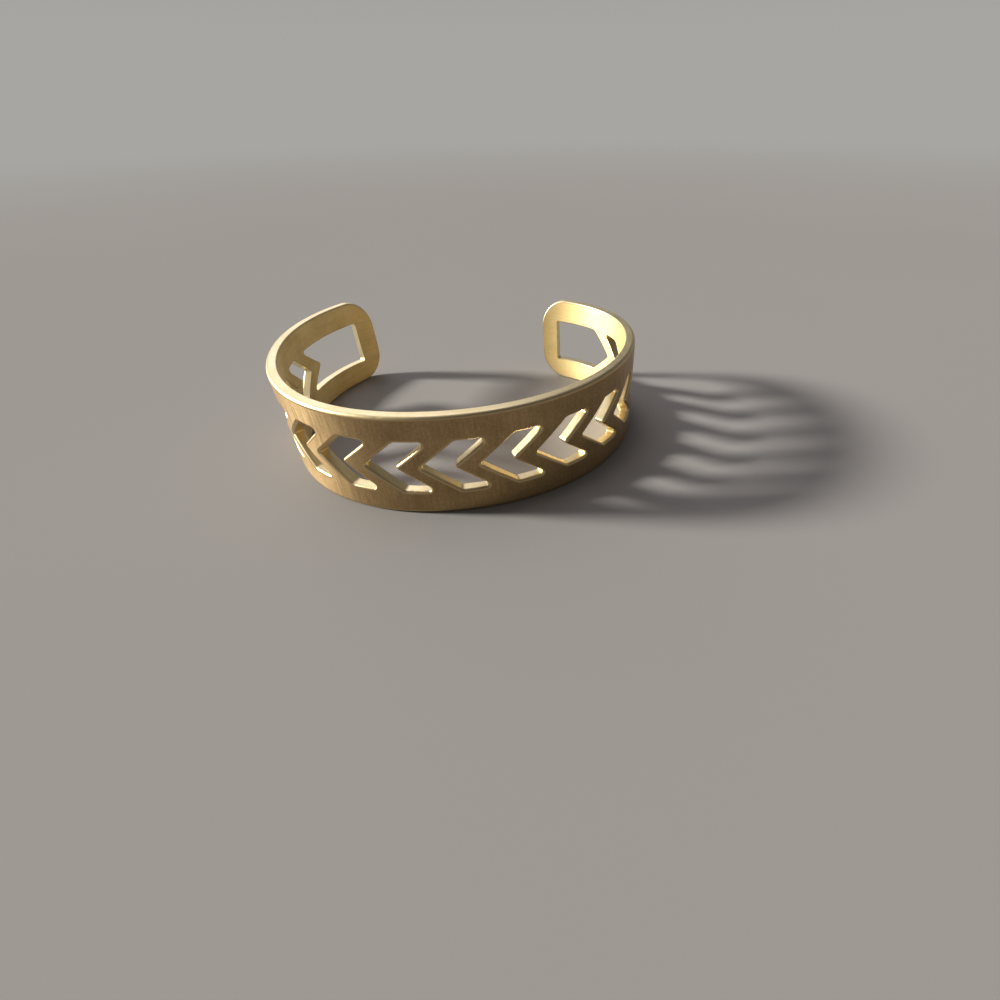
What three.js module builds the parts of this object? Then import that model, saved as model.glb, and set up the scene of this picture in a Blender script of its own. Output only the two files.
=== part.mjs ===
// Open cuff bracelet: one strip of brass, pierced with a row of chevrons and bent round the wrist.
// It lies on one long edge. Millimetres, +Z up, the middle of the front faces -Y and the mouth +Y.
// A flat point has x along the strip and y up the strip, and a depth into the metal from the outer face.

import * as THREE from 'three';
import { mergeVertices } from 'three/addons/utils/BufferGeometryUtils.js';

// Strip before bending
const HALF_LENGTH = 74.5;
const HALF_HEIGHT = 8;
const THICKNESS = 1.7;
const TIP_CORNER_RADIUS = 5.5;

// Bend radius of the outer face at even stations from the left tip to the right tip
const BEND_RADII = [25.5, 31.5, 38, 25.5, 36, 31.5, 29.5, 20, 22.5];
const PLAN_STEP = 0.05;

// Row of chevrons pointing left, the apex of the middle one just left of the front
const CHEVRONS_EACH_WAY = 6;
const CHEVRON_PITCH = 8.45;
const MIDDLE_APEX = -3.4;
const WIDTH_AT_APEX = 4.7;
const ARM_RUN = 5.4;
const ARM_RISE = 4.05;

// End windows, each closed by an upright bar at the tip
const WINDOW_HALF_HEIGHT = 3.9;
const LEFT_END_BAR = 4.3;
const RIGHT_END_BAR = 3.5;

// Softened edges
const RIM_ROUND = 0.6;
const RIM_INNER_ROUND = 0.25;
const OPENING_ROUND = 0.45;
const OPENING_INNER_ROUND = 0.12;

// Radii of the openings' corners, seen from outside
const APEX_RADIUS = 0.25;
const NOTCH_RADIUS = 0.47;
const SHARP_END_RADIUS = 0.4;
const BLUNT_END_RADIUS = 1;
const WINDOW_CORNER_RADIUS = 0.34;

// Number of facets along each kind of edge
const OUTER_ROUND_PARTS = 3;
const INNER_ROUND_PARTS = 1;
const CORNER_ARC_PARTS = 2;
const ARM_PARTS = 3;
const ARM_END_PARTS = 2;
const BAR_PARTS = 3;
const WINDOW_PARTS = 4;
const TIP_PARTS = 2;
const CORNER_PARTS = 3;

const TIP_CORNER_X = HALF_LENGTH - TIP_CORNER_RADIUS;
const TIP_CORNER_Y = HALF_HEIGHT - TIP_CORNER_RADIUS;
const LEFT_WINDOW_END = LEFT_END_BAR - HALF_LENGTH;
const RIGHT_WINDOW_END = HALF_LENGTH - RIGHT_END_BAR;

// The bend: curvature changes evenly from one station to the next
function curvatureAt(x) {
  const place = ((x + HALF_LENGTH) / (2 * HALF_LENGTH)) * (BEND_RADII.length - 1);
  const index = THREE.MathUtils.clamp(Math.floor(place), 0, BEND_RADII.length - 2);
  return THREE.MathUtils.lerp(1 / BEND_RADII[index], 1 / BEND_RADII[index + 1], place - index);
}

function traceHalf(direction) {
  const rows = [{ heading: 0, across: 0, back: 0 }];
  for (let i = 0; i * PLAN_STEP < HALF_LENGTH; i += 1) {
    const last = rows[i];
    const turn = curvatureAt(direction * (i + 0.5) * PLAN_STEP) * PLAN_STEP;
    const middle = last.heading + turn / 2;
    rows.push({
      heading: last.heading + turn,
      across: last.across + Math.cos(middle) * PLAN_STEP,
      back: last.back + Math.sin(middle) * PLAN_STEP,
    });
  }
  return rows;
}

const LEFT_HALF = traceHalf(-1);
const RIGHT_HALF = traceHalf(1);

function planPoint(x, depth) {
  const rows = x < 0 ? LEFT_HALF : RIGHT_HALF;
  const place = Math.abs(x) / PLAN_STEP;
  const index = Math.min(Math.floor(place), rows.length - 2);
  const mix = (key) => THREE.MathUtils.lerp(rows[index][key], rows[index + 1][key], place - index);
  const across = mix('across') - Math.sin(mix('heading')) * depth;
  const back = mix('back') + Math.cos(mix('heading')) * depth;
  return new THREE.Vector2(x < 0 ? -across : across, back);
}

function planCentre() {
  const box = new THREE.Box2();
  for (let x = -HALF_LENGTH; x <= HALF_LENGTH; x += PLAN_STEP) {
    box.expandByPoint(planPoint(x, 0));
    box.expandByPoint(planPoint(x, THICKNESS));
  }
  return box.getCenter(new THREE.Vector2());
}

const CENTRE = planCentre();

function bend(flat, depth) {
  const plan = planPoint(flat.x, depth).sub(CENTRE);
  return new THREE.Vector3(plan.x, plan.y, flat.y + HALF_HEIGHT);
}

// Openings: corners anticlockwise as seen from outside, each with the parts of the edge after it
function corner(x, y, radius, parts) {
  return { at: new THREE.Vector2(x, y), radius, parts };
}

function chevron(place) {
  const apex = MIDDLE_APEX + place * CHEVRON_PITCH;
  const notch = apex + WIDTH_AT_APEX;
  return {
    corners: [
      corner(apex, 0, APEX_RADIUS, ARM_PARTS),
      corner(apex + ARM_RUN, -ARM_RISE, BLUNT_END_RADIUS, ARM_END_PARTS),
      corner(notch + ARM_RUN, -ARM_RISE, SHARP_END_RADIUS, ARM_PARTS),
      corner(notch, 0, NOTCH_RADIUS, ARM_PARTS),
      corner(notch + ARM_RUN, ARM_RISE, SHARP_END_RADIUS, ARM_END_PARTS),
      corner(apex + ARM_RUN, ARM_RISE, BLUNT_END_RADIUS, ARM_PARTS),
    ],
    sides: { left: [5, 0, 1], bottom: [1, 2], right: [2, 3, 4], top: [4, 5] },
  };
}

function leftWindow(place) {
  const notch = MIDDLE_APEX + place * CHEVRON_PITCH + WIDTH_AT_APEX;
  const armEnd = notch + (ARM_RUN * WINDOW_HALF_HEIGHT) / ARM_RISE;
  return {
    corners: [
      corner(LEFT_WINDOW_END, -WINDOW_HALF_HEIGHT, WINDOW_CORNER_RADIUS, CORNER_PARTS),
      corner(-TIP_CORNER_X, -WINDOW_HALF_HEIGHT, 0, WINDOW_PARTS),
      corner(armEnd, -WINDOW_HALF_HEIGHT, SHARP_END_RADIUS, ARM_PARTS),
      corner(notch, 0, NOTCH_RADIUS, ARM_PARTS),
      corner(armEnd, WINDOW_HALF_HEIGHT, SHARP_END_RADIUS, WINDOW_PARTS),
      corner(-TIP_CORNER_X, WINDOW_HALF_HEIGHT, 0, CORNER_PARTS),
      corner(LEFT_WINDOW_END, WINDOW_HALF_HEIGHT, WINDOW_CORNER_RADIUS, CORNER_PARTS),
      corner(LEFT_WINDOW_END, TIP_CORNER_Y, 0, TIP_PARTS),
      corner(LEFT_WINDOW_END, -TIP_CORNER_Y, 0, CORNER_PARTS),
    ],
    sides: { left: [6, 7, 8, 0], bottom: [0, 1, 2], right: [2, 3, 4], top: [4, 5, 6] },
  };
}

function rightWindow(place) {
  const apex = MIDDLE_APEX + place * CHEVRON_PITCH;
  const armEnd = apex + (ARM_RUN * WINDOW_HALF_HEIGHT) / ARM_RISE;
  return {
    corners: [
      corner(apex, 0, APEX_RADIUS, ARM_PARTS),
      corner(armEnd, -WINDOW_HALF_HEIGHT, BLUNT_END_RADIUS, WINDOW_PARTS),
      corner(TIP_CORNER_X, -WINDOW_HALF_HEIGHT, 0, CORNER_PARTS),
      corner(RIGHT_WINDOW_END, -WINDOW_HALF_HEIGHT, WINDOW_CORNER_RADIUS, CORNER_PARTS),
      corner(RIGHT_WINDOW_END, -TIP_CORNER_Y, 0, TIP_PARTS),
      corner(RIGHT_WINDOW_END, TIP_CORNER_Y, 0, CORNER_PARTS),
      corner(RIGHT_WINDOW_END, WINDOW_HALF_HEIGHT, WINDOW_CORNER_RADIUS, CORNER_PARTS),
      corner(TIP_CORNER_X, WINDOW_HALF_HEIGHT, 0, WINDOW_PARTS),
      corner(armEnd, WINDOW_HALF_HEIGHT, BLUNT_END_RADIUS, ARM_PARTS),
    ],
    sides: { left: [8, 0, 1], bottom: [1, 2, 3], right: [3, 4, 5, 6], top: [6, 7, 8] },
  };
}

function openingRow() {
  const openings = [leftWindow(-CHEVRONS_EACH_WAY - 1)];
  for (let place = -CHEVRONS_EACH_WAY; place <= CHEVRONS_EACH_WAY; place += 1) {
    openings.push(chevron(place));
  }
  openings.push(rightWindow(CHEVRONS_EACH_WAY + 1));
  return openings;
}

// Points round a corner, each with the step into the metal that goes with an inset of one
function cornerArc(corners, index) {
  const { at, radius } = corners[index];
  const before = corners[(index + corners.length - 1) % corners.length].at;
  const after = corners[(index + 1) % corners.length].at;
  const outward = (from, to) => new THREE.Vector2(to.y - from.y, from.x - to.x).normalize();
  const first = outward(before, at);
  const second = outward(at, after);
  if (radius === 0) {
    return [{ at, step: first }];
  }
  const turn = Math.atan2(first.cross(second), first.dot(second));
  const reach = Math.sign(turn) * radius;
  const middle = first.clone().add(second).divideScalar(1 + first.dot(second));
  const centre = at.clone().addScaledVector(middle, -reach);
  return Array.from({ length: CORNER_ARC_PARTS + 1 }, (_, i) => {
    const step = first.clone().rotateAround(new THREE.Vector2(), (turn * i) / CORNER_ARC_PARTS);
    return { at: centre.clone().addScaledVector(step, reach), step };
  });
}

function divide(from, to, parts) {
  return Array.from({ length: parts + 1 }, (_, i) => from.clone().lerp(to, i / parts));
}

function joinPaths(paths) {
  return paths.flatMap((path, i) => (i === 0 ? path : path.slice(1)));
}

// One side of an opening, from the middle of its first corner to the middle of its last
function sidePath(opening, name, inset) {
  const { corners, sides } = opening;
  const order = sides[name];
  const arcs = order.map((index, i) => {
    const arc = cornerArc(corners, index).map(({ at, step }) => at.clone().addScaledVector(step, inset));
    const middle = (arc.length - 1) / 2;
    const isLast = i === order.length - 1;
    return arc.slice(i === 0 ? middle : 0, isLast ? middle + 1 : arc.length);
  });
  const spans = arcs.slice(1).flatMap((arc, i) => {
    const from = arcs[i][arcs[i].length - 1];
    return [divide(from, arc[0], corners[order[i]].parts), arc];
  });
  return joinPaths([arcs[0], ...spans]);
}

// The closed path round all the openings, clockwise, crossing each bar where it meets the rails
function framePath(openings, inset) {
  const top = openings.map((opening) => sidePath(opening, 'top', inset).reverse());
  const bottom = openings.map((opening) => sidePath(opening, 'bottom', inset).reverse()).reverse();
  const bridge = (before, after) => divide(before[before.length - 1], after[0], BAR_PARTS);
  const bridged = (paths) =>
    paths.flatMap((path, i) => (i === 0 ? [path] : [bridge(paths[i - 1], path), path]));
  const rightEnd = sidePath(openings[openings.length - 1], 'right', inset).reverse();
  const leftEnd = sidePath(openings[0], 'left', inset).reverse();
  return joinPaths([...bridged(top), rightEnd, ...bridged(bottom), leftEnd]);
}

// The point of the outline that stands across the rail or the end bar from a point of the frame path
function outlinePoint(framePoint, inset) {
  const side = Math.sign(framePoint.x);
  const up = Math.sign(framePoint.y);
  const x = Math.abs(framePoint.x);
  const y = Math.abs(framePoint.y);
  const windowEnd = side < 0 ? -LEFT_WINDOW_END : RIGHT_WINDOW_END;
  if (x <= TIP_CORNER_X) {
    return new THREE.Vector2(framePoint.x, up * (HALF_HEIGHT - inset));
  }
  if (y <= TIP_CORNER_Y) {
    return new THREE.Vector2(side * (HALF_LENGTH - inset), framePoint.y);
  }
  const alongTop = (x - TIP_CORNER_X) / (windowEnd - TIP_CORNER_X);
  const downEnd = (WINDOW_HALF_HEIGHT - y) / (WINDOW_HALF_HEIGHT - TIP_CORNER_Y);
  const angle = (alongTop + downEnd) * (Math.PI / 4);
  const radius = TIP_CORNER_RADIUS - inset;
  return new THREE.Vector2(
    side * (TIP_CORNER_X + radius * Math.sin(angle)),
    up * (TIP_CORNER_Y + radius * Math.cos(angle)),
  );
}

// Rounded edge from the outer face through the metal to the inner face
function edgeLayers(outerRound, innerRound) {
  const layers = [];
  for (let i = 0; i <= OUTER_ROUND_PARTS; i += 1) {
    const angle = (i / OUTER_ROUND_PARTS) * (Math.PI / 2);
    layers.push({
      inset: outerRound * (1 - Math.sin(angle)),
      depth: outerRound * (1 - Math.cos(angle)),
    });
  }
  for (let i = 0; i <= INNER_ROUND_PARTS; i += 1) {
    const angle = (i / INNER_ROUND_PARTS) * (Math.PI / 2);
    layers.push({
      inset: innerRound * (1 - Math.cos(angle)),
      depth: THICKNESS - innerRound * (1 - Math.sin(angle)),
    });
  }
  return layers;
}

// A sheet of facets between rows of points, facing the side from which its rows run to the right
function addSheet(positions, rows) {
  for (let i = 1; i < rows.length; i += 1) {
    for (let j = 1; j < rows[i].length; j += 1) {
      const [a, b, c, d] = [rows[i - 1][j - 1], rows[i - 1][j], rows[i][j], rows[i][j - 1]];
      positions.push(...a.toArray(), ...b.toArray(), ...c.toArray());
      positions.push(...a.toArray(), ...c.toArray(), ...d.toArray());
    }
  }
}

function bendRow(row, depth) {
  return row.map((flat) => bend(flat, depth));
}

// One face of the strip: the frame between the outline and the openings, and the bars
function addFace(positions, openings, depth, rimInset, openingInset) {
  const order = (rows) => (depth === 0 ? rows : rows.reverse());
  const inner = framePath(openings, openingInset);
  const outer = framePath(openings, 0).map((point) => outlinePoint(point, rimInset));
  addSheet(positions, order([bendRow(inner, depth), bendRow(outer, depth)]));
  for (let i = 1; i < openings.length; i += 1) {
    const left = sidePath(openings[i - 1], 'right', openingInset);
    const right = sidePath(openings[i], 'left', openingInset).reverse();
    const rows = left.map((point, j) => bendRow(divide(point, right[j], BAR_PARTS), depth));
    addSheet(positions, order(rows));
  }
}

function addRim(positions, openings) {
  const path = framePath(openings, 0);
  const rows = edgeLayers(RIM_ROUND, RIM_INNER_ROUND).map(({ inset, depth }) =>
    bendRow(path.map((point) => outlinePoint(point, inset)), depth),
  );
  addSheet(positions, rows);
}

function addOpeningWalls(positions, opening) {
  const layers = edgeLayers(OPENING_ROUND, OPENING_INNER_ROUND);
  for (const name of Object.keys(opening.sides)) {
    addSheet(positions, layers.map(({ inset, depth }) => bendRow(sidePath(opening, name, inset), depth)));
  }
}

function cuffGeometry() {
  const openings = openingRow();
  const positions = [];
  addFace(positions, openings, 0, RIM_ROUND, OPENING_ROUND);
  addFace(positions, openings, THICKNESS, RIM_INNER_ROUND, OPENING_INNER_ROUND);
  addRim(positions, openings);
  openings.forEach((opening) => addOpeningWalls(positions, opening));
  const geometry = new THREE.BufferGeometry();
  geometry.setAttribute('position', new THREE.Float32BufferAttribute(positions, 3));
  return mergeVertices(geometry, 1e-4);
}

function cuffMesh() {
  const material = new THREE.MeshStandardMaterial({ color: 0xc29a54, roughness: 0.34, metalness: 1 });
  const geometry = cuffGeometry();
  geometry.computeVertexNormals();
  const mesh = new THREE.Mesh(geometry, material);
  mesh.name = 'cuff';
  return mesh;
}

const bracelet = new THREE.Group();
bracelet.name = 'cuff_bracelet';
bracelet.add(cuffMesh());

export default bracelet;
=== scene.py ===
"""Open cuff bracelet in brushed brass, pierced with chevrons, lying on one long edge."""

import math

import bpy
import numpy as np
from mathutils import Matrix, Vector

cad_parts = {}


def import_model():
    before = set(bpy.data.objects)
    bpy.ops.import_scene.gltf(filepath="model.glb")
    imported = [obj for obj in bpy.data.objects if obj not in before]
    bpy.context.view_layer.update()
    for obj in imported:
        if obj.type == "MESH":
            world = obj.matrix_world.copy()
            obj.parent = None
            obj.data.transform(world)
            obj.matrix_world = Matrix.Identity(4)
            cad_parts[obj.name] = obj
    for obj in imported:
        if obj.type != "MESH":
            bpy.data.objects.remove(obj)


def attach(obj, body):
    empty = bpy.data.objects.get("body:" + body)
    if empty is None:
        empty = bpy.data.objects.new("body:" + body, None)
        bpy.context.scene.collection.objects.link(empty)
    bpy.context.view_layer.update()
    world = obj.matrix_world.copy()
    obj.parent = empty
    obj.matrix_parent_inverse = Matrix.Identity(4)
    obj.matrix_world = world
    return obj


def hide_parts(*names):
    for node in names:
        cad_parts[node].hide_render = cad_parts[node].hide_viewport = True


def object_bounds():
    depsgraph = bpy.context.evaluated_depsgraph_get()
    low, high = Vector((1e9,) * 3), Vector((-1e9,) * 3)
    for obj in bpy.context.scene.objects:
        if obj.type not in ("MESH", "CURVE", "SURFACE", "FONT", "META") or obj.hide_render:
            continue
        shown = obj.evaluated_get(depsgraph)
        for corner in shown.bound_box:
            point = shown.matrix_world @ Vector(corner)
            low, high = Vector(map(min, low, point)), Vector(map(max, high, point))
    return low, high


MM = 0.001

# Strip before bending, in millimetres: x along the strip, y up it, depth into it from the outer face
HALF_LENGTH = 74.5
HALF_HEIGHT = 8.0
THICKNESS = 1.7
TIP_CORNER_RADIUS = 5.5

# Bend radius of the outer face at even stations from the left tip to the right tip
BEND_RADII = (25.5, 31.5, 38, 25.5, 36, 31.5, 29.5, 20, 22.5)
PLAN_STEP = 0.05

# Row of chevrons pointing left
CHEVRONS_EACH_WAY = 6
CHEVRON_PITCH = 8.45
MIDDLE_APEX = -3.4
WIDTH_AT_APEX = 4.7
ARM_RUN = 5.4
ARM_RISE = 4.05

# End windows, each closed by an upright bar at the tip
WINDOW_HALF_HEIGHT = 3.9
LEFT_END_BAR = 4.3
RIGHT_END_BAR = 3.5

# Softened edges
RIM_ROUND = 0.6
RIM_INNER_ROUND = 0.25
OPENING_ROUND = 0.45
OPENING_INNER_ROUND = 0.12

# Radii of the openings' corners, seen from outside
APEX_RADIUS = 0.25
NOTCH_RADIUS = 0.47
SHARP_END_RADIUS = 0.4
BLUNT_END_RADIUS = 1.0
WINDOW_CORNER_RADIUS = 0.34

# Number of faces along each kind of edge
OUTER_ROUND_PARTS = 6
INNER_ROUND_PARTS = 3
CORNER_ARC_PARTS = 8
ARM_PARTS = 8
ARM_END_PARTS = 5
BAR_PARTS = 6
RAIL_PARTS = 3
WINDOW_PARTS = 12
TIP_PARTS = 6
CORNER_PARTS = 6

# Corners are welded where they agree to one part in this many of a millimetre
WELD_PARTS = 10000

# Millimetres of strip in one unit of the map that steers the gloss
STRIP_MAP_SIZE = 10

# Places of the surfaces in the mesh's list of materials
OUTER, INNER, EDGE = 0, 1, 2

TIP_CORNER_X = HALF_LENGTH - TIP_CORNER_RADIUS
TIP_CORNER_Y = HALF_HEIGHT - TIP_CORNER_RADIUS
LEFT_WINDOW_END = LEFT_END_BAR - HALF_LENGTH
RIGHT_WINDOW_END = HALF_LENGTH - RIGHT_END_BAR


# The bend
def half_plan(direction):
    """Distance, heading and place along one half of the outer face, from the middle of the front."""
    stations = np.linspace(-HALF_LENGTH, HALF_LENGTH, len(BEND_RADII))
    middles = np.arange(0, HALF_LENGTH, PLAN_STEP) + PLAN_STEP / 2
    turns = np.interp(direction * middles, stations, 1 / np.array(BEND_RADII)) * PLAN_STEP
    heading = np.concatenate([[0], np.cumsum(turns)])
    half_way = heading[:-1] + turns / 2
    across = np.concatenate([[0], np.cumsum(np.cos(half_way))]) * PLAN_STEP
    back = np.concatenate([[0], np.cumsum(np.sin(half_way))]) * PLAN_STEP
    distance = np.arange(len(heading)) * PLAN_STEP
    return distance, heading, across, back


def whole_plan():
    """The same along the whole strip, with x and the heading negative on the left."""
    left = [row[:0:-1] for row in half_plan(-1)]
    right = half_plan(1)
    signs = (-1, -1, -1, 1)
    return [np.concatenate([sign * a, b]) for sign, a, b in zip(signs, left, right)]


DISTANCE, HEADING, ACROSS, BACK = whole_plan()


def directions(x):
    """Along the strip and into the metal, at each x."""
    heading = np.interp(x, DISTANCE, HEADING)
    zero = np.zeros_like(heading)
    along = np.stack([np.cos(heading), np.sin(heading), zero], axis=-1)
    into = np.stack([-np.sin(heading), np.cos(heading), zero], axis=-1)
    return along, into


def bent(flat, depth):
    """Places in the plan's own frame of flat points at a depth."""
    across = np.interp(flat[..., 0], DISTANCE, ACROSS)
    back = np.interp(flat[..., 0], DISTANCE, BACK)
    outer = np.stack([across, back, flat[..., 1]], axis=-1)
    return outer + directions(flat[..., 0])[1] * depth


def plan_centre():
    """Middle of the cuff's footprint, level with its lower edge, in the plan's own frame."""
    x = np.arange(-HALF_LENGTH, HALF_LENGTH, PLAN_STEP)
    line = np.stack([x, np.zeros_like(x)], axis=-1)
    both = np.concatenate([bent(line, 0), bent(line, THICKNESS)])
    middle = (both.min(axis=0) + both.max(axis=0)) / 2
    return np.array([middle[0], middle[1], -HALF_HEIGHT])


CENTRE = plan_centre()
UP = np.array([0.0, 0.0, 1.0])


# The openings, anticlockwise as seen from outside: corner x, y, radius, parts of the edge after it.
# Each side runs through the corners it lists, from the middle of the first to the middle of the last
def chevron(place):
    apex = MIDDLE_APEX + place * CHEVRON_PITCH
    notch = apex + WIDTH_AT_APEX
    corners = [
        (apex, 0, APEX_RADIUS, ARM_PARTS),
        (apex + ARM_RUN, -ARM_RISE, BLUNT_END_RADIUS, ARM_END_PARTS),
        (notch + ARM_RUN, -ARM_RISE, SHARP_END_RADIUS, ARM_PARTS),
        (notch, 0, NOTCH_RADIUS, ARM_PARTS),
        (notch + ARM_RUN, ARM_RISE, SHARP_END_RADIUS, ARM_END_PARTS),
        (apex + ARM_RUN, ARM_RISE, BLUNT_END_RADIUS, ARM_PARTS),
    ]
    sides = {"left": (5, 0, 1), "bottom": (1, 2), "right": (2, 3, 4), "top": (4, 5)}
    return opening(corners, sides)


def left_window(place):
    notch = MIDDLE_APEX + place * CHEVRON_PITCH + WIDTH_AT_APEX
    arm_end = notch + ARM_RUN * WINDOW_HALF_HEIGHT / ARM_RISE
    corners = [
        (LEFT_WINDOW_END, -WINDOW_HALF_HEIGHT, WINDOW_CORNER_RADIUS, CORNER_PARTS),
        (-TIP_CORNER_X, -WINDOW_HALF_HEIGHT, 0, WINDOW_PARTS),
        (arm_end, -WINDOW_HALF_HEIGHT, SHARP_END_RADIUS, ARM_PARTS),
        (notch, 0, NOTCH_RADIUS, ARM_PARTS),
        (arm_end, WINDOW_HALF_HEIGHT, SHARP_END_RADIUS, WINDOW_PARTS),
        (-TIP_CORNER_X, WINDOW_HALF_HEIGHT, 0, CORNER_PARTS),
        (LEFT_WINDOW_END, WINDOW_HALF_HEIGHT, WINDOW_CORNER_RADIUS, CORNER_PARTS),
        (LEFT_WINDOW_END, TIP_CORNER_Y, 0, TIP_PARTS),
        (LEFT_WINDOW_END, -TIP_CORNER_Y, 0, CORNER_PARTS),
    ]
    sides = {"left": (6, 7, 8, 0), "bottom": (0, 1, 2), "right": (2, 3, 4), "top": (4, 5, 6)}
    return opening(corners, sides)


def right_window(place):
    apex = MIDDLE_APEX + place * CHEVRON_PITCH
    arm_end = apex + ARM_RUN * WINDOW_HALF_HEIGHT / ARM_RISE
    corners = [
        (apex, 0, APEX_RADIUS, ARM_PARTS),
        (arm_end, -WINDOW_HALF_HEIGHT, BLUNT_END_RADIUS, WINDOW_PARTS),
        (TIP_CORNER_X, -WINDOW_HALF_HEIGHT, 0, CORNER_PARTS),
        (RIGHT_WINDOW_END, -WINDOW_HALF_HEIGHT, WINDOW_CORNER_RADIUS, CORNER_PARTS),
        (RIGHT_WINDOW_END, -TIP_CORNER_Y, 0, TIP_PARTS),
        (RIGHT_WINDOW_END, TIP_CORNER_Y, 0, CORNER_PARTS),
        (RIGHT_WINDOW_END, WINDOW_HALF_HEIGHT, WINDOW_CORNER_RADIUS, CORNER_PARTS),
        (TIP_CORNER_X, WINDOW_HALF_HEIGHT, 0, WINDOW_PARTS),
        (arm_end, WINDOW_HALF_HEIGHT, BLUNT_END_RADIUS, ARM_PARTS),
    ]
    sides = {"left": (8, 0, 1), "bottom": (1, 2, 3), "right": (3, 4, 5, 6), "top": (6, 7, 8)}
    return opening(corners, sides)


def unit(vector):
    return vector / np.linalg.norm(vector)


def corner_arc(before, here, after, radius):
    """Points round a corner and, at each, the direction into the metal."""
    first, second = unit(here - before), unit(after - here)
    turn = math.atan2(first[0] * second[1] - first[1] * second[0], first @ second)
    into = np.array([first[1], -first[0]])
    if radius == 0:
        return here[None], into[None]
    angles = np.linspace(0, turn, CORNER_ARC_PARTS + 1)
    cos, sin = np.cos(angles), np.sin(angles)
    normals = np.stack([cos * into[0] - sin * into[1], sin * into[0] + cos * into[1]], axis=-1)
    reach = math.copysign(radius, turn)
    start = here - first * radius * math.tan(abs(turn) / 2)
    return start - into * reach + normals * reach, normals


def between(start, end, parts):
    """Places at even steps from start to end, both included."""
    steps = np.linspace(0, 1, parts + 1)[:, None]
    return start * (1 - steps) + end * steps


def corner_arcs(corners):
    at = [np.array(corner[:2], float) for corner in corners]
    after = at[1:] + at[:1]
    before = at[-1:] + at[:-1]
    return [corner_arc(*three, corner[2]) for *three, corner in zip(before, at, after, corners)]


def side_path(corners, arcs, order):
    """Points and directions into the metal, from the middle of the first corner to the last's."""
    arc, arc_normals = arcs[order[0]]
    middle = len(arc) // 2
    points, normals = [arc[middle:]], [arc_normals[middle:]]
    for previous, index in zip(order, order[1:]):
        arc, arc_normals = arcs[index]
        straight = between(points[-1][-1], arc[0], corners[previous][3])[1:-1]
        end = len(arc) // 2 + 1 if index == order[-1] else len(arc)
        points += [straight, arc[:end]]
        normals += [np.repeat(arc_normals[:1], len(straight), axis=0), arc_normals[:end]]
    return np.concatenate(points), np.concatenate(normals)


def opening(corners, sides):
    """The sides by name, each as (points, directions into the metal)."""
    arcs = corner_arcs(corners)
    return {name: side_path(corners, arcs, order) for name, order in sides.items()}


def side(hole, name, inset):
    """One side of an opening, moved into the metal by the inset."""
    points, normals = hole[name]
    return points + normals * inset


def joined(paths):
    """One path from several that each start where the one before ends."""
    return np.concatenate([paths[0]] + [path[1:] for path in paths[1:]])


def bridged(paths):
    """The paths in their order, with the end of a bar crossed between each two."""
    out = [paths[0]]
    for before, after in zip(paths, paths[1:]):
        out += [between(before[-1], after[0], BAR_PARTS), after]
    return out


def frame_path(openings, inset):
    """The closed path round all the openings, clockwise, crossing each bar where it meets the rails."""
    top = [side(hole, "top", inset)[::-1] for hole in openings]
    bottom = [side(hole, "bottom", inset)[::-1] for hole in reversed(openings)]
    right_end = side(openings[-1], "right", inset)[::-1]
    left_end = side(openings[0], "left", inset)[::-1]
    return joined(bridged(top) + [right_end] + bridged(bottom) + [left_end])


def outline(path):
    """Places on the band's outline across from those of the path, and directions into the metal."""
    x, y = path[:, 0], path[:, 1]
    across, up = np.sign(x), np.sign(y)
    window_end = np.where(x < 0, -LEFT_WINDOW_END, RIGHT_WINDOW_END)
    along_top = np.clip((abs(x) - TIP_CORNER_X) / (window_end - TIP_CORNER_X), 0, 1)
    down_end = np.clip((WINDOW_HALF_HEIGHT - abs(y)) / (WINDOW_HALF_HEIGHT - TIP_CORNER_Y), 0, 1)
    angle = np.where(abs(x) <= TIP_CORNER_X, 0, (along_top + down_end) * math.pi / 4)
    centre_x = np.where(abs(x) <= TIP_CORNER_X, x, across * TIP_CORNER_X)
    centre_y = np.where((abs(x) > TIP_CORNER_X) & (abs(y) <= TIP_CORNER_Y), y, up * TIP_CORNER_Y)
    outward = np.stack([across * np.sin(angle), up * np.cos(angle)], axis=-1)
    return np.stack([centre_x, centre_y], axis=-1) + outward * TIP_CORNER_RADIUS, -outward


def edge_layers(outer_round, inner_round):
    """Rounded edge from the outer face to the inner: inset, depth, parts of the normal, polish."""
    layers = []
    for i in range(OUTER_ROUND_PARTS + 1):
        angle = i / OUTER_ROUND_PARTS * math.pi / 2
        sin, cos = math.sin(angle), math.cos(angle)
        layers.append((outer_round * (1 - sin), outer_round * (1 - cos), -sin, -cos, sin))
    for i in range(INNER_ROUND_PARTS + 1):
        angle = i / INNER_ROUND_PARTS * math.pi / 2
        sin, cos = math.sin(angle), math.cos(angle)
        layers.append((inner_round * (1 - cos), THICKNESS - inner_round * (1 - sin), -cos, sin, 1))
    return layers


class Sheets:
    """Gathers sheets of quads with a normal, a flat place, a polish and a material."""

    def __init__(self):
        self.places, self.normals, self.flats, self.polishes = [], [], [], []
        self.faces, self.materials = [], []
        self.count = 0

    def add(self, rows, material):
        """rows holds (flat points, depth, into the metal, two parts of the normal, polish)."""
        width = len(rows[0][0])
        for flat, depth, into_metal, metal_part, depth_part, polish in rows:
            along, into = directions(flat[:, 0])
            sideways = into_metal[:, :1] * along + into_metal[:, 1:] * UP
            self.places.append(bent(flat, depth) - CENTRE)
            self.normals.append(sideways * metal_part + into * depth_part)
            self.flats.append(np.column_stack([flat, np.full(width, depth)]))
            self.polishes.append(np.full(width, polish))
        for i in range(len(rows) - 1):
            low = self.count + i * width + np.arange(width - 1)
            quads = np.stack([low, low + 1, low + 1 + width, low + width], axis=-1)
            self.faces.append(quads)
            self.materials.append(np.full(width - 1, material))
        self.count += width * len(rows)


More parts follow.
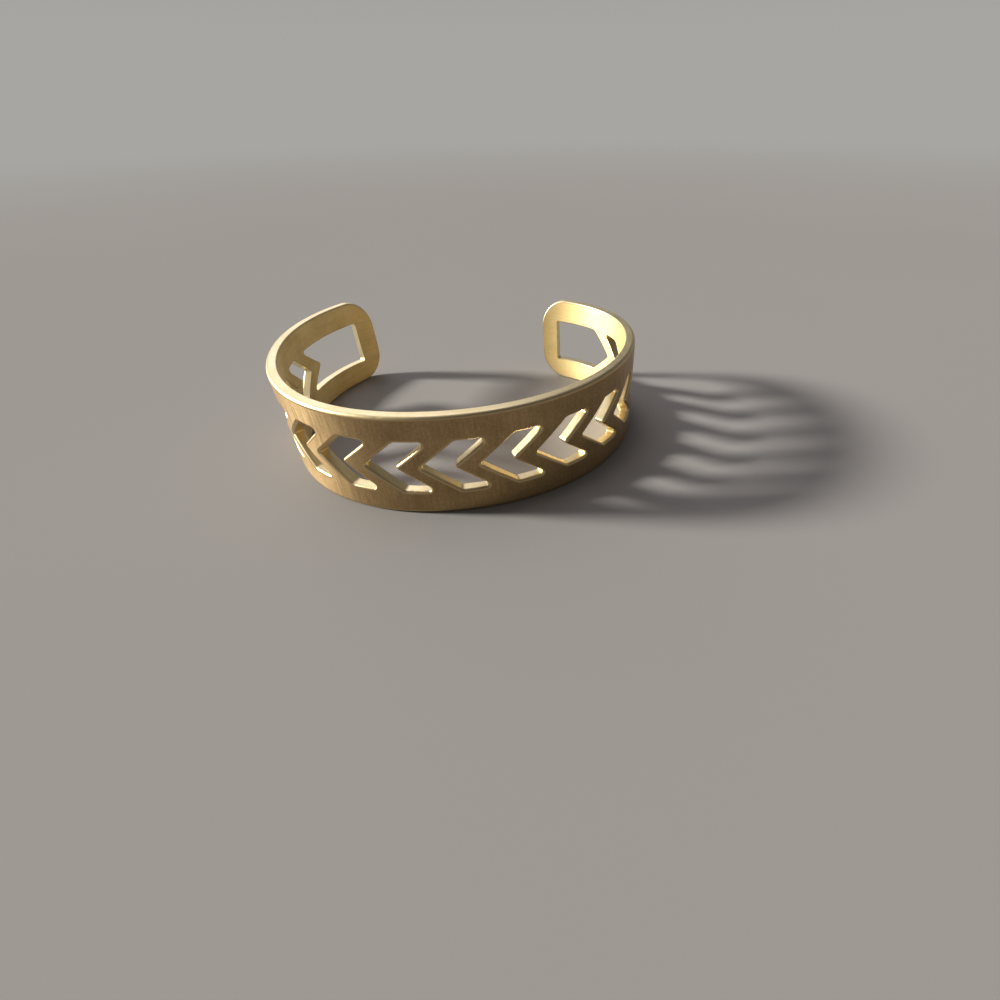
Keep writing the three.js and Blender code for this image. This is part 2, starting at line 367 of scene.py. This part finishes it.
def face_rows(rows, depth, sheets):
    """A sheet on one of the two faces, from flat rows that run left to right and upwards."""
    outer = depth == 0
    none = np.zeros_like(rows[0])
    depth_part = -1 if outer else 1
    order = rows if outer else rows[::-1]
    sheets.add([(row, depth, none, 0, depth_part, 0) for row in order], OUTER if outer else INNER)


def add_face(sheets, openings, depth, rim_inset, opening_inset):
    """One of the two faces: the frame round the openings, and the bars between them."""
    at_openings = frame_path(openings, opening_inset)
    places, into = outline(frame_path(openings, 0))
    at_rim = places + into * rim_inset
    steps = np.linspace(0, 1, RAIL_PARTS + 1)
    face_rows([at_openings * (1 - step) + at_rim * step for step in steps], depth, sheets)
    for before, after in zip(openings, openings[1:]):
        left = side(before, "right", opening_inset)
        right = side(after, "left", opening_inset)[::-1]
        face_rows([between(a, b, BAR_PARTS) for a, b in zip(left, right)], depth, sheets)


def edge_rows(points, into_metal, layers):
    """The rows of a sheet across one edge, from the outer face to the inner."""
    return [
        (points + into_metal * inset, depth, into_metal, metal_part, depth_part, polish)
        for inset, depth, metal_part, depth_part, polish in layers
    ]


def add_edges(sheets, openings):
    places, into = outline(frame_path(openings, 0))
    sheets.add(edge_rows(places, into, edge_layers(RIM_ROUND, RIM_INNER_ROUND)), EDGE)
    layers = edge_layers(OPENING_ROUND, OPENING_INNER_ROUND)
    for hole in openings:
        for points, normals in hole.values():
            sheets.add(edge_rows(points, normals, layers), EDGE)


def welded(sheets):
    """Corners that meet, merged: places, normals, flat places, polishes, faces and materials."""
    places = np.concatenate(sheets.places)
    keys = np.round(places * WELD_PARTS).astype(np.int64)
    _, first, index = np.unique(keys, axis=0, return_index=True, return_inverse=True)
    index = index.ravel()
    faces = index[np.concatenate(sheets.faces)]
    normals = np.concatenate(sheets.normals)[first]
    flats = np.concatenate(sheets.flats)[first]
    polishes = np.concatenate(sheets.polishes)[first]
    return places[first], normals, flats, polishes, faces, np.concatenate(sheets.materials)


def cuff_sheets():
    row = range(-CHEVRONS_EACH_WAY, CHEVRONS_EACH_WAY + 1)
    openings = [left_window(-CHEVRONS_EACH_WAY - 1)]
    openings += [chevron(place) for place in row]
    openings += [right_window(CHEVRONS_EACH_WAY + 1)]
    sheets = Sheets()
    add_face(sheets, openings, 0, RIM_ROUND, OPENING_ROUND)
    add_face(sheets, openings, THICKNESS, RIM_INNER_ROUND, OPENING_INNER_ROUND)
    add_edges(sheets, openings)
    return sheets


def add_strip_data(mesh, flats, polishes):
    """Gives each corner its flat place and its polish, and the mesh a map of the flat strip."""
    flat = mesh.attributes.new("flat", "FLOAT_VECTOR", "POINT")
    flat.data.foreach_set("vector", flats.astype(np.float32).ravel())
    polish = mesh.attributes.new("polish", "FLOAT", "POINT")
    polish.data.foreach_set("value", polishes.astype(np.float32))
    corners = np.zeros(len(mesh.loops), dtype=np.int32)
    mesh.loops.foreach_get("vertex_index", corners)
    strip = mesh.uv_layers.new(name="strip")
    places = flats[corners][:, :2] / STRIP_MAP_SIZE
    strip.data.foreach_set("uv", places.astype(np.float32).ravel())


def cuff_mesh(materials, box):
    """The mesh in metres, with its corners held inside the box."""
    places, normals, flats, polishes, faces, face_materials = welded(cuff_sheets())
    mesh = bpy.data.meshes.new("brass_cuff")
    inside = np.clip(places * MM, box[0], box[1])
    mesh.from_pydata(inside.tolist(), [], faces.tolist())
    for material in materials:
        mesh.materials.append(material)
    mesh.polygons.foreach_set("material_index", face_materials.astype(np.int32))
    mesh.polygons.foreach_set("use_smooth", np.ones(len(faces), dtype=bool))
    add_strip_data(mesh, flats, polishes)
    mesh.update()
    mesh.normals_split_custom_set_from_vertices(normals.tolist())
    return mesh


def placed(name, data):
    """An object of that name, placed in the scene."""
    item = bpy.data.objects.new(name, data)
    bpy.context.scene.collection.objects.link(item)
    return item


# Sockets of the colour mix, which shares its node with mixes of other kinds
MIX_FACTOR, MIX_FIRST, MIX_SECOND = 0, 6, 7
MIX_COLOUR = 2


class Nodes:
    """The nodes of a material or a world, made and joined in short calls."""

    def __init__(self, owner):
        owner.use_nodes = True
        self.tree = owner.node_tree
        self.tree.nodes.clear()

    def add(self, kind, inputs=None, **settings):
        node = self.tree.nodes.new(kind)
        for name, value in settings.items():
            setattr(node, name, value)
        for name, value in (inputs or {}).items():
            socket = node.inputs[name]
            if isinstance(value, bpy.types.NodeSocket):
                self.tree.links.new(value, socket)
            else:
                socket.default_value = value
        return node

    def noise(self, vector, scale, detail, roughness):
        inputs = {"Vector": vector, "Scale": scale, "Detail": detail, "Roughness": roughness}
        return self.add("ShaderNodeTexNoise", inputs).outputs["Fac"]

    def stretched(self, vector, scale):
        node = self.add("ShaderNodeVectorMath", {0: vector, 1: scale}, operation="MULTIPLY")
        return node.outputs["Vector"]

    def span(self, value, low, high, to_low, to_high, kind="LINEAR"):
        """The value stretched so that low becomes to_low and high becomes to_high, and no further."""
        inputs = {"Value": value, "From Min": low, "From Max": high}
        inputs |= {"To Min": to_low, "To Max": to_high}
        return self.add("ShaderNodeMapRange", inputs, interpolation_type=kind).outputs["Result"]

    def soft(self, value, low, high):
        """0 at low, 1 at high, with no visible start or end."""
        return self.span(value, low, high, 0, 1, kind="SMOOTHERSTEP")

    def mix(self, factor, first, second):
        """The first colour where the factor is 0, the second where it is 1."""
        inputs = {MIX_FACTOR: factor, MIX_FIRST: first, MIX_SECOND: second}
        return self.add("ShaderNodeMix", inputs, data_type="RGBA").outputs[MIX_COLOUR]

    def dot(self, vector, other):
        node = self.add("ShaderNodeVectorMath", {0: vector, 1: other}, operation="DOT_PRODUCT")
        return node.outputs["Value"]

    def math(self, operation, *values):
        return self.add("ShaderNodeMath", dict(enumerate(values)), operation=operation).outputs[0]


# Each surface of the metal: colours, how tightly the brushed grain is packed along, up and through
# the strip, turn and strength of the stretched gloss, roughness, how far the grain changes it, height
# of the grain, strength of the speckle and, on the edges, the colour where they aren't polished, which
# is the outside's darkened brass and so carries its painted shade. The outside is a shaded copy of the
# brass and the inside a lit one: painted shade on the outer face, painted light on the inner
SURFACES = {
    "brass_outer": {
        # Darkened brass: painted shade for the shaded, darkly mirrored outer face
        "gold": (0.44, 0.298, 0.144, 1),
        "shade": (0.31, 0.199, 0.090, 1),
        "pale": (0.76, 0.58, 0.32, 1),
        "grain": (2.4, 0.13, 1.0),
        "turn": 0.25,
        "stretch": 0.72,
        "roughness": 0.42,
        "uneven": 0.08,
        "height": 0.6,
        "speckle": 0.3,
    },
    "brass_inner": {
        # Lighter brass than the outside: the metal's own colour, with painted light for the lit inner
        # face
        "gold": (0.95, 0.77, 0.40, 1),
        "shade": (0.79, 0.60, 0.28, 1),
        "pale": (0.97, 0.85, 0.53, 1),
        "grain": (0.12, 2.4, 1.0),
        "turn": 0.25,
        "stretch": 0.5,
        "roughness": 0.68,
        "uneven": 0.06,
        "height": 0.5,
        "speckle": 0.2,
    },
    "brass_edge": {
        "gold": (0.82, 0.68, 0.40, 1),
        "shade": (0.70, 0.54, 0.28, 1),
        "pale": (0.90, 0.80, 0.55, 1),
        # Where the edges meet the outer face: less polish, and the outside's painted shade
        "unpolished_painted_shade": (0.44, 0.298, 0.144, 1),
        "grain": (0.9, 0.9, 0.9),
        "turn": 0.0,
        "stretch": 0.0,
        "roughness": 0.44,
        "uneven": 0.05,
        "height": 0.05,
        "speckle": 0.0,
    },
}

# Noise in the metal: scale, detail and roughness. The streaks and the hairs run along the grain
STREAKS = (1.0, 4.0, 0.65)
HAIRS = (3.1, 3.0, 0.6)
CLOUD = (0.14, 4.0, 0.55)
SPECKS = (2.6, 3.0, 0.65)

# How a noise acts on the metal: the two values it acts between and, where it's the same on every
# surface, what it gives at each
CLOUD_SHADE = (0.36, 0.64, 0, 0.7)
CLOUD_ROUGHNESS = (0.35, 0.65, -0.02, 0.04)
STREAK_SHADE = (0.42, 0.66, 0, 0.32)
STREAK_ROUGHNESS = (0.3, 0.7)
HAIR_PALE = (0.5, 0.75, 0, 0.3)
SPECK_SHADE = (0.5, 0.66)
SPECK_PALE = (0.5, 0.36)
SPECK_WEAR = (0.3, 0.7, 0.3, 1)

# Worn edges are paler and smoother
WORN_PALE = 0.4
WORN_SMOOTH = 0.08

# Height of the hairs and the specks beside that of the streaks, and the full height in metres
HAIR_HEIGHT = 0.6
SPECK_HEIGHT = 0.25
GRAIN_HEIGHT = 0.00003


def metal_noise(nodes, look):
    """The noise over the flat strip that the metal's colour, roughness and relief share."""
    flat = nodes.add("ShaderNodeAttribute", attribute_name="flat").outputs["Vector"]
    polish = nodes.add("ShaderNodeAttribute", attribute_name="polish").outputs["Fac"]
    brushed = nodes.stretched(flat, look["grain"])
    noise = {
        "polish": polish,
        "streaks": nodes.noise(brushed, *STREAKS),
        "hairs": nodes.noise(brushed, *HAIRS),
        "cloud": nodes.noise(flat, *CLOUD),
        "specks": nodes.noise(flat, *SPECKS),
    }
    noise["worn"] = nodes.math("MULTIPLY", polish, nodes.span(noise["specks"], *SPECK_WEAR))
    return noise


def metal_colour(nodes, look, noise):
    shade, pale, speckle = look["shade"], look["pale"], look["speckle"]
    colour = nodes.mix(nodes.span(noise["cloud"], *CLOUD_SHADE), look["gold"], shade)
    colour = nodes.mix(nodes.span(noise["streaks"], *STREAK_SHADE), colour, shade)
    colour = nodes.mix(nodes.span(noise["hairs"], *HAIR_PALE), colour, pale)
    colour = nodes.mix(nodes.span(noise["specks"], *SPECK_SHADE, 0, speckle), colour, shade)
    colour = nodes.mix(nodes.span(noise["specks"], *SPECK_PALE, 0, speckle / 2), colour, pale)
    colour = nodes.mix(nodes.math("MULTIPLY", noise["worn"], WORN_PALE), colour, pale)
    # Towards the outer face the edges fade into the outside's darkened brass: less polish, and painted
    # shade
    if "unpolished_painted_shade" in look:
        colour = nodes.mix(noise["polish"], look["unpolished_painted_shade"], colour)
    return colour


def metal_roughness(nodes, look, noise):
    uneven = nodes.span(noise["streaks"], *STREAK_ROUGHNESS, -look["uneven"], look["uneven"])
    roughness = nodes.math("ADD", uneven, look["roughness"])
    roughness = nodes.math("ADD", roughness, nodes.span(noise["cloud"], *CLOUD_ROUGHNESS))
    return nodes.math("SUBTRACT", roughness, nodes.math("MULTIPLY", noise["worn"], WORN_SMOOTH))


def metal_relief(nodes, look, noise):
    hairs = nodes.math("MULTIPLY", noise["hairs"], HAIR_HEIGHT)
    specks = nodes.math("MULTIPLY", noise["specks"], SPECK_HEIGHT)
    height = nodes.math("ADD", nodes.math("ADD", noise["streaks"], hairs), specks)
    bump = {"Height": height, "Strength": look["height"], "Distance": GRAIN_HEIGHT}
    return nodes.add("ShaderNodeBump", bump).outputs["Normal"]


def brass(name, look):
    material = bpy.data.materials.new(name)
    nodes = Nodes(material)
    noise = metal_noise(nodes, look)
    tangent = nodes.add("ShaderNodeTangent", direction_type="UV_MAP", uv_map="strip")
    inputs = {
        "Base Color": metal_colour(nodes, look, noise),
        "Metallic": 1.0,
        "Roughness": metal_roughness(nodes, look, noise),
        "Normal": metal_relief(nodes, look, noise),
        "Tangent": tangent.outputs["Tangent"],
        "Anisotropic": look["stretch"],
        "Anisotropic Rotation": look["turn"],
    }
    shader = nodes.add("ShaderNodeBsdfPrincipled", inputs)
    nodes.add("ShaderNodeOutputMaterial", {"Surface": shader.outputs["BSDF"]})
    return material


# The floor: half its side in metres, its two colours, the scale, detail and roughness of the noise
# between them, the distances in metres over which it fades, and the colour of the air at the horizon
FLOOR_HALF_SIDE = 8.0
FLOOR_COLOUR = (0.310, 0.292, 0.283, 1)
FLOOR_SHADE = (0.292, 0.275, 0.266, 1)
FLOOR_NOISE = (6.0, 3.0, 0.5)
FADE_START = 0.12
FADE_END = 0.9
HORIZON_COLOUR = (0.39, 0.382, 0.362, 1)


def floor_material():
    """Matt and pale, fading with distance into the colour of the air at the horizon."""
    material = bpy.data.materials.new("pale_floor")
    nodes = Nodes(material)
    where = nodes.add("ShaderNodeTexCoord").outputs["Object"]
    colour = nodes.mix(nodes.noise(where, *FLOOR_NOISE), FLOOR_COLOUR, FLOOR_SHADE)
    near = nodes.add("ShaderNodeBsdfDiffuse", {"Color": colour}).outputs["BSDF"]
    far = nodes.add("ShaderNodeEmission", {"Color": HORIZON_COLOUR}).outputs["Emission"]
    distance = nodes.add("ShaderNodeVectorMath", {0: where}, operation="LENGTH").outputs["Value"]
    fade = nodes.soft(distance, FADE_START, FADE_END)
    mixed = nodes.add("ShaderNodeMixShader", {0: fade, 1: near, 2: far}).outputs["Shader"]
    nodes.add("ShaderNodeOutputMaterial", {"Surface": mixed})
    return material


def floor_object():
    mesh = bpy.data.meshes.new("floor")
    side_places = (-FLOOR_HALF_SIDE, FLOOR_HALF_SIDE)
    points = [(x, y, 0) for y in side_places for x in side_places]
    mesh.from_pydata(points, [], [(0, 1, 3, 2)])
    mesh.materials.append(floor_material())
    return placed("floor", mesh)


# A low key from the left and slightly behind: where it stands, spread in degrees, strength, colour
KEY_FROM = (-0.86, 0.14, 0.31)
KEY_SPREAD = 8.0
KEY_STRENGTH = 7.0
KEY_COLOUR = (1.0, 0.99, 0.91)

# The air above the horizon: its colour, and the sines of the heights where that starts and is full
ABOVE_COLOUR = (0.09, 0.09, 0.09, 1)
HORIZON_SINE = 0.02
ABOVE_SINE = 0.44

# A soft arch of light that rises at the back and passes overhead: how far its foot is turned to the
# left, in degrees, the sines across it where it is full and where it ends, the sines of the heights
# between which it fades towards the horizon, and the reach past the top where it ends and is full
ARCH_TURN = 26.0
ARCH_FULL = 0.05
ARCH_EDGE = 0.60
ARCH_LOW = 0.12
ARCH_HIGH = 0.30
ARCH_FRONT_EDGE = -0.2
ARCH_FRONT_FULL = 0.25
ARCH_COLOUR = (1.6, 1.56, 1.6, 1)


def key_light():
    light = bpy.data.lights.new("key", "SUN")
    light.energy = KEY_STRENGTH
    light.color = KEY_COLOUR
    light.angle = math.radians(KEY_SPREAD)
    lamp = placed("key", light)
    lamp.location = KEY_FROM
    lamp.rotation_euler = (-Vector(KEY_FROM)).to_track_quat("-Z", "Y").to_euler()


def light_arch(nodes, direction, up):
    """How strongly the arch shows in each direction, from 0 to 1."""
    turn = math.radians(ARCH_TURN)
    sideways = nodes.dot(direction, (math.cos(turn), math.sin(turn), 0))
    backwards = nodes.dot(direction, (-math.sin(turn), math.cos(turn), 0))
    across = nodes.soft(nodes.math("ABSOLUTE", sideways), ARCH_EDGE, ARCH_FULL)
    height = nodes.soft(up, ARCH_LOW, ARCH_HIGH)
    front = nodes.soft(backwards, ARCH_FRONT_EDGE, ARCH_FRONT_FULL)
    return nodes.math("MULTIPLY", nodes.math("MULTIPLY", across, height), front)


def studio_air():
    """The air from the horizon upwards, with the arch of light in it."""
    world = bpy.data.worlds.new("studio")
    nodes = Nodes(world)
    direction = nodes.add("ShaderNodeTexCoord").outputs["Generated"]
    up = nodes.add("ShaderNodeSeparateXYZ", {"Vector": direction}).outputs["Z"]
    height = nodes.soft(up, HORIZON_SINE, ABOVE_SINE)
    air = nodes.mix(height, HORIZON_COLOUR, ABOVE_COLOUR)
    colour = nodes.mix(light_arch(nodes, direction, up), air, ARCH_COLOUR)
    sky = nodes.add("ShaderNodeBackground", {"Color": colour})
    nodes.add("ShaderNodeOutputWorld", {"Surface": sky.outputs["Background"]})
    bpy.context.scene.world = world
    bpy.context.scene.view_settings.view_transform = "Standard"


# The camera: its place in millimetres from the outer face at the middle of the front, its turns in
# degrees from level and the turn from straight down to level, the side of the square image, the focal
# length and the centre of the view in pixels, the width of the sensor in millimetres, and the nearest
# and furthest it sees in metres
CAMERA_PLACE = (12.12, -60.04, 39.40)
CAMERA_YAW = -5.114
CAMERA_PITCH = -40.999
CAMERA_ROLL = 0.751
DOWN_TO_LEVEL = 90
IMAGE_SIDE = 1000
FOCAL_PIXELS = 499.7
VIEW_CENTRE = (569.1, 529.0)
SENSOR = 36.0
NEAREST = 0.001
FURTHEST = 20


def turned(degrees, axis):
    return Matrix.Rotation(math.radians(degrees), 4, axis)


def photo_camera():
    camera = bpy.data.cameras.new("camera")
    camera.sensor_width = SENSOR
    camera.lens = SENSOR * FOCAL_PIXELS / IMAGE_SIDE
    camera.shift_x = (IMAGE_SIDE / 2 - VIEW_CENTRE[0]) / IMAGE_SIDE
    camera.shift_y = (VIEW_CENTRE[1] - IMAGE_SIDE / 2) / IMAGE_SIDE
    camera.clip_start = NEAREST
    camera.clip_end = FURTHEST
    eye = placed("camera", camera)
    place = (Vector(CAMERA_PLACE) - Vector(CENTRE)) * MM
    heading = turned(CAMERA_YAW, "Z") @ turned(CAMERA_PITCH, "X") @ turned(CAMERA_ROLL, "Y")
    eye.matrix_world = Matrix.Translation(place) @ heading @ turned(DOWN_TO_LEVEL, "X")
    bpy.context.scene.camera = eye


def size_lists(corners):
    """The two corners of a box as plain lists."""
    return [[float(value) for value in corner] for corner in corners]


def build():
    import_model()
    cad_box = size_lists(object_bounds())
    materials = [brass(name, look) for name, look in SURFACES.items()]
    cuff = placed("brass_cuff", cuff_mesh(materials, cad_box))
    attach(cuff, "root")
    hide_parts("cuff")
    floor_object()
    key_light()
    studio_air()
    photo_camera()


build()
